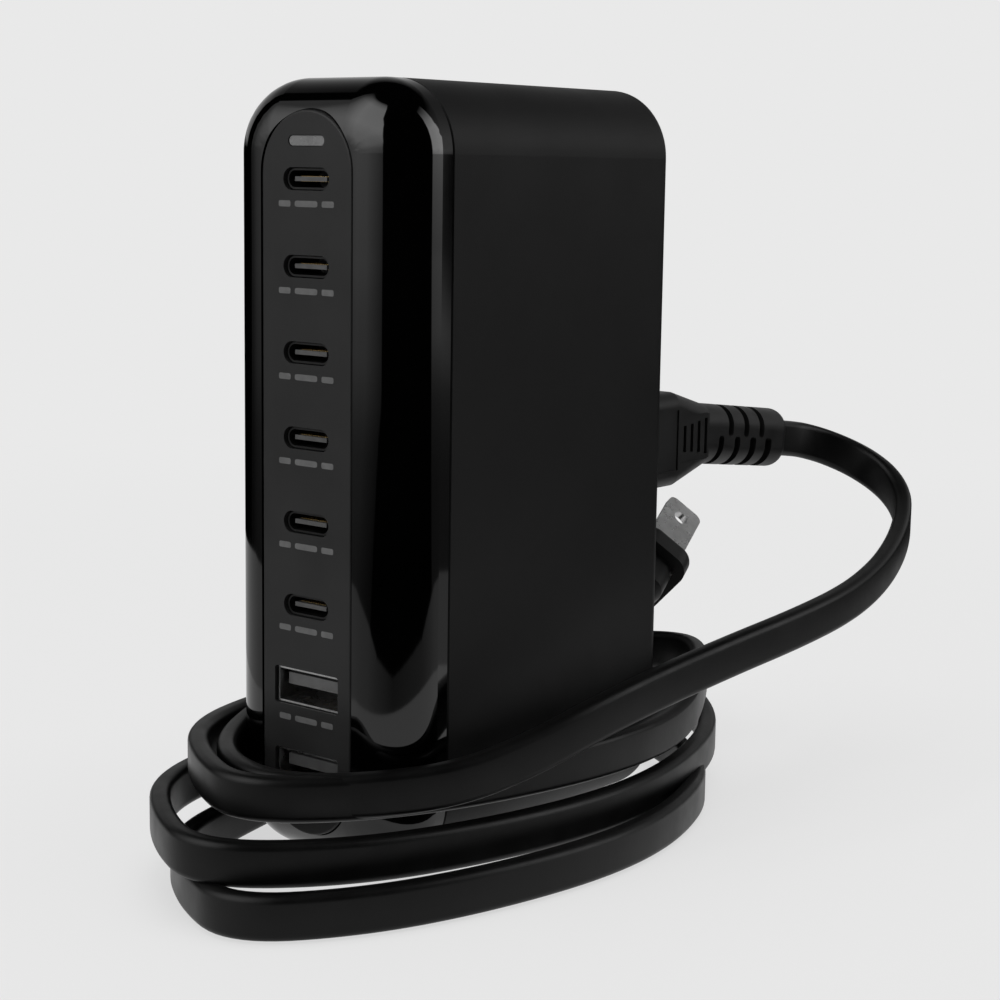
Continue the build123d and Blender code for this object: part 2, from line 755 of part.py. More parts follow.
with BuildPart() as connector_contacts:
    with BuildSketch(facing_front(connector_y - nose_length + 0.6)):
        with Locations(*[(inlet_place, z) for z in pin_heights]):
            Circle(contact_bore_radius)
            Circle(contact_bore_radius - contact_wall, mode=Mode.SUBTRACT)
    extrude(amount=-(contact_length - 0.6))
finish(connector_contacts.part, "connector_contacts")

# Plug: overmould with a short strain relief, and two blades seated in it
plug_direction = Vector(*plug_axis).normalized()
plug_plane = Plane(origin=plug_place, x_dir=plug_side, z_dir=plug_direction)


def along_plug(distance):
    """A plane across the plug, at a distance in front of its face."""
    origin = plug_plane.from_local_coords((0, 0, distance))
    return Plane(origin=origin, x_dir=plug_plane.x_dir, z_dir=plug_direction)


grip_start_plane = along_plug(-plug_rim_length)
taper_start = -plug_rim_length - plug_grip_length
taper_end = taper_start - plug_taper_length
plug_back = taper_end - plug_relief_length
blade_places = [((0, -blade_spacing / 2), blade_widths[0]), ((0, blade_spacing / 2), blade_widths[1])]


def along_face(face):
    """How far a face lies in front of the plug's own face."""
    return (face.center() - plug_plane.origin).dot(plug_direction)


with BuildPart() as plug_body:
    with BuildSketch(plug_plane):
        RectangleRounded(plug_thickness, plug_width, plug_corner)
    extrude(amount=-plug_rim_length)
    fillet(plug_body.faces().group_by(along_face)[-1].edges(), plug_edge)
    with BuildSketch(grip_start_plane):
        RectangleRounded(plug_grip_thickness, plug_grip_width, plug_grip_corner)
    extrude(amount=-plug_grip_length)
    with BuildSketch(along_plug(taper_start)):
        RectangleRounded(plug_grip_thickness, plug_grip_width, plug_grip_corner)
    with BuildSketch(along_plug(taper_end)):
        RectangleRounded(plug_neck_thickness, plug_neck_width, plug_neck_corner)
    loft()
    with BuildSketch(along_plug(taper_end)):
        RectangleRounded(plug_neck_thickness, plug_neck_width, plug_neck_corner)
    extrude(amount=-plug_relief_length)
    for index in range(plug_slot_count):
        place = taper_end - (2 * index + 1) * plug_slot_width
        with BuildSketch(along_plug(place)):
            RectangleRounded(plug_neck_thickness, plug_neck_width, plug_neck_corner)
            RectangleRounded(
                plug_neck_thickness - 2 * plug_slot_depth,
                plug_neck_width - 2 * plug_slot_depth,
                plug_slot_corner,
                mode=Mode.SUBTRACT,
            )
        extrude(amount=-plug_slot_width, mode=Mode.SUBTRACT)
    with BuildSketch(plug_plane):
        for place, blade_width in blade_places:
            with Locations(place):
                Rectangle(blade_width, blade_thickness)
    extrude(amount=-blade_root, mode=Mode.SUBTRACT)
finish(plug_body.part, "plug_body")

with BuildPart() as plug_blades:
    with BuildSketch(along_plug(-blade_root)):
        for place, blade_width in blade_places:
            with Locations(place):
                Rectangle(blade_width, blade_thickness)
    extrude(amount=blade_root + blade_length)
    tip_corners = [
        edge
        for edge in plug_blades.edges().filter_by(lambda e: abs(e.length - blade_thickness) < 0.01)
        if (edge.center() - plug_plane.origin).dot(plug_direction) > blade_length - 0.1
    ]
    fillet(tip_corners, blade_corner)
    for place, blade_width in blade_places:
        hole_centre = plug_plane.from_local_coords((0, place[1] - blade_thickness, blade_hole_place))
        with BuildSketch(Plane(origin=hole_centre, x_dir=plug_plane.x_dir, z_dir=plug_plane.y_dir)):
            Circle(blade_hole_radius)
        extrude(amount=2 * blade_thickness, mode=Mode.SUBTRACT)
finish(plug_blades.part, "plug_blades")

# Turns of the lead round the foot of the housing, as one loose ring of three turns. The outline is
# in shares of half the turn's width and length, from the front tip round by the right.
turn_outline = [
    (0.2, -1.0), (0.61, -0.73), (0.86, -0.37), (1.0, 0.07), (0.92, 0.45), (0.61, 0.84), (0.05, 1.0),
    (-0.55, 0.96), (-0.9, 0.78), (-1.0, 0.1), (-0.97, -0.38), (-0.74, -0.7), (-0.3, -0.9),
]


def turn_points(turn, inset):
    """The corners of a turn's outline, drawn in by the inset."""
    x, y, half_width, half_length = turn
    return [(x + u * (half_width - inset), y + v * (half_length - inset)) for u, v in turn_outline]


turns = (bottom_turn, middle_turn, top_turn)
with BuildPart() as cord_coil:
    for index, turn in enumerate(turns):
        with BuildSketch(Plane.XY.offset(index * lead_width)):
            with BuildLine():
                Spline(*turn_points(turn, 0), periodic=True)
            make_face()
            with BuildLine():
                Spline(*turn_points(turn, lead_thickness + 0.4), periodic=True)
            make_face(mode=Mode.SUBTRACT)
        extrude(amount=lead_width + (turn_overlap if index < 2 else 0))
finish(cord_coil.part, "cord_coil")

# Free stretches of the lead: from the strain relief down to the turns, and from the turns to the plug
relief_tip = relief_plane.from_local_coords((0, 0, relief_length))
lead_route = [
    tuple(relief_tip),
    tuple(relief_plane.from_local_coords((0, 0, relief_length + exit_run))),
    (9.0, 99.4, 57.3),
    (12.2, 104.6, 55.5),
    (17.7, 108.0, 52.7),
    (24.0, 107.8, 49.3),
    (29.5, 103.8, 45.7),
    (33.6, 96.2, 42.6),
    (37.3, 86.3, 39.6),
    (40.4, 74.0, 36.8),
    (41.9, 60.3, 34.4),
    (41.2, 44.6, 32.4),
    (38.6, 28.0, 30.1),
    (35.8, 11.0, 27.3),
    (33.4, -4.5, 24.2),
    (30.0, -16.0, 20.4),
]
tail_route = [
    (-25.6, -9.0, 20.4),
    (-25.4, 1.0, 23.2),
    (-24.9, 11.5, 24.0),
    (-24.0, 22.0, 24.1),
    (-22.6, 31.5, 23.9),
    (-21.4, 38.6, 23.0),
    (-16.4, 41.2, 22.1),
    (-10.4, 40.6, 21.3),
    (-5.2, 43.5, 20.9),
    tuple(along_plug(plug_back - tail_run).origin),
    tuple(along_plug(plug_back).origin),
]


def bend_radii(points):
    """One radius for each corner of a route, as large as its two runs allow."""
    radii = []
    for before, corner, after in zip(points, points[1:], points[2:]):
        first = Vector(*corner) - Vector(*before)
        second = Vector(*after) - Vector(*corner)
        half_turn = math.radians(first.get_angle(second)) / 2
        radii.append(bend_share * min(first.length, second.length) / math.tan(half_turn))
    return radii


for name, route in (("cord_lead", lead_route), ("cord_tail", tail_route)):
    radii = bend_radii(route)
    start = Vector(*route[0])
    with BuildPart() as tube:
        with BuildLine() as path:
            FilletPolyline(*route, radius=radii)
        with BuildSketch(Plane(origin=start, z_dir=Vector(*route[1]) - start)):
            Circle(lead_radius)
        sweep()
    length = sum(edge.length for edge in path.line.edges())
    print(name, "radii", [round(radius, 1) for radius in radii], "length", round(length, 1))
    print(name, "volume", round(tube.part.volume), "of", round(math.pi * lead_radius**2 * length))
    finish(tube.part, name)
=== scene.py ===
from math import cos, pi, radians, sin

import bpy
import numpy as np
from mathutils import Matrix, Vector


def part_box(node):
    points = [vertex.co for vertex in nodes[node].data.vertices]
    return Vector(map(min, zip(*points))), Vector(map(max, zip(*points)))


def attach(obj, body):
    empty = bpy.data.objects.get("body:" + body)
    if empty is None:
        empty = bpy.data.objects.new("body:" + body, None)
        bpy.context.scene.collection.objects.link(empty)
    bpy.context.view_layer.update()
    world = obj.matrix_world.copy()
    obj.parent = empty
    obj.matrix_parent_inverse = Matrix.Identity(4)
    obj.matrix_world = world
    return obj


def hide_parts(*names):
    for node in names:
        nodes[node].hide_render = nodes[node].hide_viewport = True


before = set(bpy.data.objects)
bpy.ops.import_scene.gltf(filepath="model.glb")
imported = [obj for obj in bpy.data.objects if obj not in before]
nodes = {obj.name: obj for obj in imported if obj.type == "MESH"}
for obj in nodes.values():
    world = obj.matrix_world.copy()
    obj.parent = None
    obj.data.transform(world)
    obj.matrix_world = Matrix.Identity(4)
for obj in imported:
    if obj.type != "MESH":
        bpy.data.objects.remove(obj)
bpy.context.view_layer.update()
scene = bpy.context.scene
mm = 0.001

# The view. The charger stands with its ports towards the front left, seen from its front right corner
# and from a little below its top. The angles, place and lens were worked out from the sockets'
# standard sizes and the outline.
view_turn, view_drop, view_roll = radians(38.71), radians(9.04), radians(0.85)
camera = bpy.data.objects.new("camera", bpy.data.cameras.new("camera"))
camera.data.sensor_width = 36.0
camera.data.lens = 75.384
camera.data.clip_start = 0.01
camera.matrix_world = (
    Matrix.Translation((223.21 * mm, -265.33 * mm, 110.78 * mm))
    @ Matrix.Rotation(view_turn, 4, "Z")
    @ Matrix.Rotation(pi / 2 - view_drop, 4, "X")
    @ Matrix.Rotation(view_roll, 4, "Z")
)
scene.collection.objects.link(camera)
scene.camera = camera
scene.view_settings.view_transform = "Standard"

# The mains lead: a flat two-core lead with a soft black jacket, extruded over its cores. From the
# connector it falls round the right side, winds four times round the charger's foot, standing on
# its edge, and comes up behind the charger to its plug.
lead_width, lead_thickness, lead_corner = 7.0, 3.3, 1.25
relief_tip = (8.0, 88.44, 58.81)
lead_route = [
    relief_tip, (8.0, 94.89, 58.04), (9.0, 99.4, 57.3), (12.2, 104.6, 55.5), (17.7, 108.0, 52.7),
    (24.0, 107.8, 49.3), (29.5, 103.8, 45.7), (33.6, 96.2, 42.6), (37.3, 86.3, 39.6), (40.4, 74.0, 36.8),
    (41.9, 60.3, 34.4), (41.2, 44.6, 32.4), (38.6, 28.0, 30.1), (35.8, 11.0, 27.3), (33.4, -4.5, 24.2),
    (30.0, -16.0, 20.4),
]
inner_turn = [
    (25.5, -28.0, 17.6), (18.0, -40.5, 17.0), (8.0, -49.0, 17.0), (-4.0, -47.0, 17.2), (-13.5, -39.5, 17.4),
    (-20.0, -27.5, 18.2), (-22.6, -12.0, 20.6), (-24.4, 4.0, 24.2), (-24.9, 22.0, 25.0), (-23.4, 40.0, 23.6),
    (-17.5, 53.0, 20.6), (-6.5, 59.6, 18.6), (4.0, 60.2, 20.2), (14.0, 55.0, 21.4), (22.0, 44.0, 20.4),
]
tail_route = [
    (-22.6, -4.0, 5.5), (-22.3, 8.0, 8.5), (-22.3, 20.0, 12.2), (-22.2, 30.5, 15.6), (-21.0, 38.2, 17.9),
    (-16.4, 41.2, 19.4), (-10.4, 40.6, 20.2), (-5.2, 43.5, 20.9),
    (-3.92, 49.23, 21.75), (-5.2, 53.16, 23.28),
]
# One turn's outline, as shares of its reach across and along, from the back right round the front
turn_outline = [
    (0.61, 0.84), (0.92, 0.45), (1.0, 0.07), (0.86, -0.37), (0.61, -0.73), (0.2, -1.0), (-0.3, -0.9),
    (-0.78, -0.71), (-0.97, -0.38), (-1.0, 0.1), (-0.9, 0.78), (-0.55, 0.96), (0.05, 1.0),
]
# Each turn's centre, its reach to the right, to the left and along, its height and its dip at the right
turns = [
    (0.2, 3.9, 31.4, 29.5, 61.0, 17.8, 2.0),
    (0.8, -0.5, 32.6, 30.0, 66.0, 10.8, 3.4),
    (8.0, -8.2, 31.8, 31.0, 58.6, 3.5, 0.0),
]
closing_step = 9
last_step = 8


def turn_place(turn, across, along):
    """Where the middle line of a turn passes, at a point of the outline."""
    x, y, right, left, length, z, dip = turn
    reach = right if across > 0 else left
    return Vector((
        x + across * (reach - lead_thickness / 2),
        y + along * (length - lead_thickness / 2),
        z - dip * max(across, 0.0),
    ))


route = [Vector(point) for point in lead_route + inner_turn]
for turn, following in zip(turns, turns[1:] + turns[-1:]):
    for step, (across, along) in enumerate(turn_outline):
        if turn is turns[0] and step == 0 or turn is turns[-1] and step > last_step:
            continue
        share = max(0.0, (step - closing_step) / (len(turn_outline) - closing_step))
        route.append(turn_place(turn, across, along).lerp(turn_place(following, across, along), share))
route += [Vector(point) for point in tail_route]


def cord_line(name, points):
    """The points down the middle of a cord, along the smooth curve that its route controls."""
    curve = bpy.data.curves.new(name, "CURVE")
    curve.dimensions = "3D"
    curve.resolution_u = 10
    spline = curve.splines.new("NURBS")
    spline.points.add(len(points) - 1)
    for point, place in zip(spline.points, points):
        point.co = (*(place * mm), 1)
    spline.order_u = 3
    spline.use_endpoint_u = True
    holder = bpy.data.objects.new(name, curve)
    scene.collection.objects.link(holder)
    mesh = bpy.data.meshes.new_from_object(holder)
    line = [vertex.co.copy() for vertex in mesh.vertices]
    bpy.data.objects.remove(holder)
    return line


def flat_section(width, thickness, corner, steps):
    """A rounded rectangle, as pairs across and up."""
    points = []
    for side_x, side_y, start in ((1, 1, 0), (-1, 1, 90), (-1, -1, 180), (1, -1, 270)):
        for k in range(steps + 1):
            angle = radians(start + 90 * k / steps)
            points.append((
                side_x * (thickness / 2 - corner) + corner * cos(angle),
                side_y * (width / 2 - corner) + corner * sin(angle),
            ))
    return points


def flat_tube(name, line, section):
    """That section swept along a line with its wide side upright, and a map of its length and girth."""
    vertices, faces, lengths = [], [], [0.0]
    count = len(section)
    for index, point in enumerate(line):
        ahead = line[min(index + 1, len(line) - 1)] - line[max(index - 1, 0)]
        across = Vector((ahead.y, -ahead.x, 0)).normalized()
        upward = across.cross(ahead).normalized()
        if index:
            lengths.append(lengths[-1] + (point - line[index - 1]).length)
        vertices += [point + a * mm * across + b * mm * upward for a, b in section]
    for index in range(len(line) - 1):
        for k in range(count):
            a, b = index * count + k, index * count + (k + 1) % count
            faces.append((a, b, b + count, a + count))
    faces.append(tuple(range(count))[::-1])
    faces.append(tuple(range((len(line) - 1) * count, len(line) * count)))
    mesh = bpy.data.meshes.new(name)
    mesh.from_pydata(vertices, [], faces)
    mesh.update()
    layer = mesh.uv_layers.new(name="along")
    for loop in mesh.loops:
        ring, k = divmod(loop.vertex_index, count)
        layer.data[loop.index].uv = (lengths[ring] / mm, k / count)
    mesh.polygons.foreach_set("use_smooth", [True] * len(mesh.polygons))
    tube = bpy.data.objects.new(name, mesh)
    scene.collection.objects.link(tube)
    return tube


def add(made, kind, values=None, **settings):
    """Adds a node to a material, and sets its inputs and its properties."""
    added = made.node_tree.nodes.new(kind)
    for key, value in settings.items():
        setattr(added, key, value)
    for key, value in (values or {}).items():
        added.inputs[key].default_value = value
    return added


def link(made, source, target):
    """Joins an output to an input."""
    made.node_tree.links.new(source, target)


def cloud(made, place, size, detail=2.0):
    """Soft noise whose patches are about that many millimetres across."""
    noise = add(made, "ShaderNodeTexNoise", {"Scale": 1.0 / (size * mm), "Detail": detail})
    link(made, place, noise.inputs["Vector"])
    return noise.outputs["Fac"]


def tinted(made, share, dark, light, low=0.35, high=0.65):
    """A colour between two tones."""
    ramp = add(made, "ShaderNodeValToRGB")
    for element, position, tone in zip(ramp.color_ramp.elements, (low, high), (dark, light)):
        element.position = position
        element.color = (*tone, 1.0)
    link(made, share, ramp.inputs["Fac"])
    return ramp.outputs["Color"]


def relief(made, height, depth, under=None):
    """A bump of that many millimetres, over an earlier one."""
    bump = add(made, "ShaderNodeBump", {"Distance": depth * mm})
    link(made, height, bump.inputs["Height"])
    if under:
        link(made, under, bump.inputs["Normal"])
    return bump.outputs["Normal"]


def finish(name, dark, light, patch, gloss, texture, **inputs):
    """A finish of two close tones in soft patches, with uneven gloss and a fine texture.

    The gloss is its least and greatest roughness, and the texture its grain's size and depth in
    millimetres."""
    made = bpy.data.materials.new(name)
    made.use_nodes = True
    shader = made.node_tree.nodes["Principled BSDF"]
    for key, value in inputs.items():
        shader.inputs[key.replace("_", " ")].default_value = value
    noise_range, gloss_patch_share = (0.3, 0.7), 0.6
    place = add(made, "ShaderNodeTexCoord").outputs["Object"]
    link(made, tinted(made, cloud(made, place, patch, 4.0), dark, light), shader.inputs["Base Color"])
    spread = add(made, "ShaderNodeMapRange", {
        "From Min": noise_range[0], "From Max": noise_range[1], "To Min": gloss[0], "To Max": gloss[1],
    })
    link(made, cloud(made, place, patch * gloss_patch_share, 5.0), spread.inputs["Value"])
    link(made, spread.outputs["Result"], shader.inputs["Roughness"])
    link(made, relief(made, cloud(made, place, texture[0]), texture[1]), shader.inputs["Normal"])
    return made


def grey(level):
    """An even tone."""
    return (level, level, level)


line = cord_line("mains_lead", route)
mains_lead = flat_tube("mains_lead", line, flat_section(lead_width, lead_thickness, lead_corner, 6))
jacket = finish(
    "soft_black_jacket", grey(0.0014), grey(0.0026), 9.0, (0.34, 0.42), (0.5, 0.006),
    Specular_IOR_Level=0.20,
)
jacket_normal = jacket.node_tree.nodes["Principled BSDF"].inputs["Normal"]
draw_stretch, draw_grain, draw_depth = (0.0004, 0.02, 1.0), 0.6, 0.010
draw_marks = add(jacket, "ShaderNodeMapping", {"Scale": draw_stretch})
link(jacket, add(jacket, "ShaderNodeUVMap", uv_map="along").outputs["UV"], draw_marks.inputs["Vector"])
drawn = cloud(jacket, draw_marks.outputs["Vector"], draw_grain)
marks = relief(jacket, drawn, draw_depth, jacket_normal.links[0].from_socket)
link(jacket, marks, jacket_normal)
mains_lead.data.materials.append(jacket)
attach(mains_lead, "root")
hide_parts("cord_lead", "cord_coil", "cord_tail")


def dress(made, *names):
    """Gives pieces that the frame brings their finish."""
    for name in names:
        slots = nodes[name].data.materials
        slots.clear()
        slots.append(made)


# The cord connector: the figure-eight socket, its grip and its segmented strain relief are one
# moulding of soft black plastic over the lead's end, with a bare sunk field on its side.
connector_black = finish(
    "connector_moulding", grey(0.0035), grey(0.0060), 6.0, (0.38, 0.48), (0.35, 0.012),
    Specular_IOR_Level=0.25,
)
dress(connector_black, "cord_connector")

# The plug body: a flanged moulding with waisted grip sides, of the same soft plastic as the lead's
# connector, moulded round the two blades.
plug_black = finish(
    "plug_moulding", grey(0.0035), grey(0.0060), 5.0, (0.42, 0.52), (0.35, 0.012),
    Specular_IOR_Level=0.25,
)
dress(plug_black, "plug_body")


def brushed(made, stretch, grain, depth):
    """Adds the fine straight lines of drawn or rolled metal, along the way that the stretch shrinks."""
    normal = made.node_tree.nodes["Principled BSDF"].inputs["Normal"]
    lines = add(made, "ShaderNodeMapping", {"Scale": stretch})
    link(made, add(made, "ShaderNodeTexCoord").outputs["Object"], lines.inputs["Vector"])
    drawn = cloud(made, lines.outputs["Vector"], grain)
    link(made, relief(made, drawn, depth, normal.links[0].from_socket), normal)


# The plug blades: two flat blades, stamped from plated brass strip and drawn lengthwise, the wider
# one on the neutral side. Each has its round hole near the tip.
blade_metal = finish(
    "plated_blade", grey(0.50), grey(0.62), 2.5, (0.24, 0.38), (0.12, 0.003), Metallic=1.0, Anisotropic=0.3,
)
brushed(blade_metal, (1.0, 0.05, 1.0), 0.3, 0.003)
dress(blade_metal, "plug_blades")

# The front housing: a deep cap of black plastic, moulded in one piece with the large rounding all
# round its face. The polished mould gives it a piano gloss with sharp reflections.
gloss_black = finish("gloss_black", grey(0.0003), grey(0.0006), 30.0, (0.035, 0.06), (6.0, 0.0012))
dress(gloss_black, "front_housing")

# The port panel: a satin dark grey plate with round ends, moulded with the ports' holes and set
# flush in the gloss face. Small grey bars are printed under each port.
panel_grey = finish(
    "satin_grey", grey(0.0100), grey(0.0130), 12.0, (0.40, 0.50), (0.22, 0.006),
    Specular_IOR_Level=0.25,
)
dress(panel_grey, "port_panel")

print_grey = finish("printed_grey", grey(0.075), grey(0.095), 1.5, (0.50, 0.60), (0.15, 0.002))
panel_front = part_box("port_panel")[0][1]
print_film = 0.02
bar_height, bar_width, bar_gap, bar_stretch = 0.95, 2.5, 0.9, 0.9
bars_in_row, corner_share, corner_points, join_distance = 3, 0.3, 4, 0.000001
port_pitch, small_drop, wide_drop = 13.2, 3.75, 5.0
top_small_z, top_wide_z = 108.55, 29.35


def node_input(tree, name, kind):
    """A named input of a geometry tree."""
    return tree.interface.new_socket(name, in_out="INPUT", socket_type=kind)


def printed_bar_tree():
    """Rows of three rounded bars, the middle one longer, one row under each port."""
    tree = bpy.data.node_groups.new("printed_bars", "GeometryNodeTree")
    tree.interface.new_socket("Geometry", in_out="OUTPUT", socket_type="NodeSocketGeometry")
    node_input(tree, "Rows", "NodeSocketInt")
    node_input(tree, "Start", "NodeSocketVector")
    for name in ("Pitch", "Bar Width", "Bar Height", "Bar Gap", "Middle Stretch", "Film"):
        node_input(tree, name, "NodeSocketFloat")
    node_input(tree, "Ink", "NodeSocketMaterial")

    def step(kind, values=None, **settings):
        """Adds a node to the tree, and sets or links its inputs."""
        made = tree.nodes.new(kind)
        for key, value in settings.items():
            setattr(made, key, value)
        for key, value in (values or {}).items():
            if isinstance(value, bpy.types.NodeSocket):
                tree.links.new(value, made.inputs[key])
            else:
                made.inputs[key].default_value = value
        return made

    given = tree.nodes.new("NodeGroupInput").outputs
    corner = step("ShaderNodeMath", {0: given["Bar Height"], 1: corner_share}, operation="MULTIPLY")
    outline = step(
        "GeometryNodeCurvePrimitiveQuadrilateral",
        {"Width": given["Bar Width"], "Height": given["Bar Height"]},
    )
    rounded = step("GeometryNodeFilletCurve", {"Curve": outline.outputs[0], "Radius": corner.outputs[0]})
    rounded.mode = "POLY"
    rounded.inputs["Count"].default_value = corner_points
    face = step("GeometryNodeFillCurve", {"Curve": rounded.outputs[0]})
    raised = step("GeometryNodeExtrudeMesh", {"Mesh": face.outputs[0], "Offset Scale": given["Film"]})
    raised.inputs["Individual"].default_value = False
    under = step("GeometryNodeFlipFaces", {"Mesh": face.outputs[0]})
    whole = step("GeometryNodeJoinGeometry")
    tree.links.new(raised.outputs["Mesh"], whole.inputs[0])
    tree.links.new(under.outputs[0], whole.inputs[0])
    bar = step("GeometryNodeMergeByDistance", {"Geometry": whole.outputs[0], "Distance": join_distance})
    pitch_x = step("ShaderNodeMath", {0: given["Bar Width"], 1: given["Bar Gap"]}, operation="ADD")
    half_stretch = step(
        "ShaderNodeMath", {0: given["Bar Width"], 1: given["Middle Stretch"]}, operation="MULTIPLY",
    )
    half_more = step("ShaderNodeMath", {0: half_stretch.outputs[0], 1: 0.5}, operation="MULTIPLY")
    spaced = step("ShaderNodeMath", {0: pitch_x.outputs[0], 1: half_more.outputs[0]}, operation="ADD")
    back = step("ShaderNodeMath", {0: spaced.outputs[0], 1: -1.0}, operation="MULTIPLY")
    row_start = step("ShaderNodeCombineXYZ", {"X": back.outputs[0]})
    row_step = step("ShaderNodeCombineXYZ", {"X": spaced.outputs[0]})
    row = step(
        "GeometryNodeMeshLine",
        {"Count": bars_in_row, "Start Location": row_start.outputs[0], "Offset": row_step.outputs[0]},
    )
    middle = step("FunctionNodeCompare", data_type="INT", operation="EQUAL")
    tree.links.new(step("GeometryNodeInputIndex").outputs[0], middle.inputs[2])
    middle.inputs[3].default_value = 1
    longer = step(
        "ShaderNodeMath",
        {0: middle.outputs[0], 1: given["Middle Stretch"], 2: 1.0}, operation="MULTIPLY_ADD",
    )
    size = step("ShaderNodeCombineXYZ", {"X": longer.outputs[0], "Y": 1.0, "Z": 1.0})
    bars = step(
        "GeometryNodeInstanceOnPoints",
        {"Points": row.outputs[0], "Instance": bar.outputs[0], "Scale": size.outputs[0]},
    )
    downward = step("ShaderNodeMath", {0: given["Pitch"], 1: -1.0}, operation="MULTIPLY")
    column_step = step("ShaderNodeCombineXYZ", {"Z": downward.outputs[0]})
    column = step(
        "GeometryNodeMeshLine",
        {"Count": given["Rows"], "Start Location": given["Start"], "Offset": column_step.outputs[0]},
    )
    rows = step(
        "GeometryNodeInstanceOnPoints",
        {"Points": column.outputs[0], "Instance": bars.outputs[0], "Rotation": (pi / 2, 0.0, 0.0)},
    )
    real = step("GeometryNodeRealizeInstances", {0: rows.outputs[0]})
    inked = step("GeometryNodeSetMaterial", {"Geometry": real.outputs[0], "Material": given["Ink"]})
    tree.links.new(inked.outputs[0], tree.nodes.new("NodeGroupOutput").inputs[0])
    return tree


def grown(name, tree, values):
    """The plain mesh that a geometry tree gives with those inputs."""
    seed = bpy.data.objects.new(name + "_seed", bpy.data.meshes.new(name + "_seed"))
    scene.collection.objects.link(seed)
    modifier = seed.modifiers.new("tree", "NODES")
    modifier.node_group = tree
    for socket in tree.interface.items_tree:
        if socket.in_out == "INPUT":
            modifier[socket.identifier] = values[socket.name]
    mesh = bpy.data.meshes.new_from_object(seed.evaluated_get(bpy.context.evaluated_depsgraph_get()))
    mesh.name = name
    seed.modifiers.remove(modifier)
    bpy.data.objects.remove(seed)
    piece = bpy.data.objects.new(name, mesh)
    scene.collection.objects.link(piece)
    return piece


bar_tree = printed_bar_tree()
for name, rows, top, drop in (
    ("print_under_small_ports", 6, top_small_z, small_drop),
    ("print_under_wide_ports", 2, top_wide_z, wide_drop),
):
    port_print = grown(name, bar_tree, {
        "Rows": rows, "Pitch": port_pitch * mm, "Start": (0.0, panel_front, (top - drop) * mm),
        "Bar Width": bar_width * mm, "Bar Height": bar_height * mm, "Bar Gap": bar_gap * mm,
        "Middle Stretch": bar_stretch, "Film": print_film * mm, "Ink": print_grey,
    })
    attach(port_print, "root")

# The status light: a small window of smoky clear plastic, pressed into the panel over the top port,
# with its own lamp on the board behind it.
window_grey = finish(
    "smoky_window", grey(0.11), grey(0.15), 3.0, (0.22, 0.30), (0.4, 0.003), Coat_Weight=0.4,
)
dress(window_grey, "status_light_lens")
lamp_white = finish("lamp_body", (0.62, 0.60, 0.42), (0.72, 0.70, 0.50), 1.0, (0.30, 0.40), (0.3, 0.004))
dress(lamp_white, "indicator_led")

# The main sleeve: a rounded tube moulded in black plastic in a spark-eroded mould, which leaves an
# even fine grain with hardly any sheen. The rear cover is snapped in with the same grain.
sleeve_black = finish(
    "sparked_black", grey(0.0022), grey(0.0036), 22.0, (0.44, 0.52), (0.26, 0.018),
    Specular_IOR_Level=0.17,
)
dress(sleeve_black, "main_sleeve", "rear_cover")

# The six USB-C sockets: a shell drawn from thin steel with a dark plating, and in it a dark tongue
# with gold contacts on both its faces.
plated_shell = finish(
    "dark_plated_shell", grey(0.006), grey(0.010), 2.0, (0.34, 0.46), (0.15, 0.003), Metallic=0.5,
)
dark_tongue = finish("dark_tongue", grey(0.050), grey(0.070), 1.5, (0.38, 0.50), (0.12, 0.003))
contact_gold = finish(
    "contact_gold", (0.62, 0.42, 0.16), (0.72, 0.50, 0.20), 0.8, (0.22, 0.34), (0.08, 0.001), Metallic=1.0,
)
for number in range(1, 7):
    dress(plated_shell, f"usb_c_shell_{number}")
    dress(dark_tongue, f"usb_c_tongue_{number}")
    dress(contact_gold, f"usb_c_contacts_{number}")

# The two USB-A sockets: a shell folded from steel sheet with pressed springs, round a grey tongue
# with four spring contacts under it.
steel_shell = finish("folded_steel", grey(0.34), grey(0.44), 2.0, (0.24, 0.36), (0.15, 0.003), Metallic=1.0)
grey_tongue = finish("grey_tongue", grey(0.075), grey(0.10), 2.0, (0.40, 0.52), (0.14, 0.003))
for number in range(1, 3):
    dress(steel_shell, f"usb_a_shell_{number}")
    dress(grey_tongue, f"usb_a_tongue_{number}")
    dress(contact_gold, f"usb_a_contacts_{number}")

# The power inlet: a figure-eight cup of hard black plastic in the rear cover, with two turned pins
# of plated brass, which go into the contacts inside the connector.
inlet_black = finish("inlet_moulding", grey(0.008), grey(0.012), 4.0, (0.34, 0.44), (0.30, 0.008))
dress(inlet_black, "power_inlet")
pin_metal = finish("turned_pin", grey(0.52), grey(0.64), 1.5, (0.16, 0.26), (0.10, 0.002), Metallic=1.0)
dress(pin_metal, "inlet_pins", "connector_contacts")

# The feet: two strips of soft rubber in pockets under the sleeve, held by glue, a little proud.
foot_rubber = finish("foot_rubber", grey(0.014), grey(0.022), 3.0, (0.70, 0.82), (0.30, 0.020))
dress(foot_rubber, "front_foot", "rear_foot")


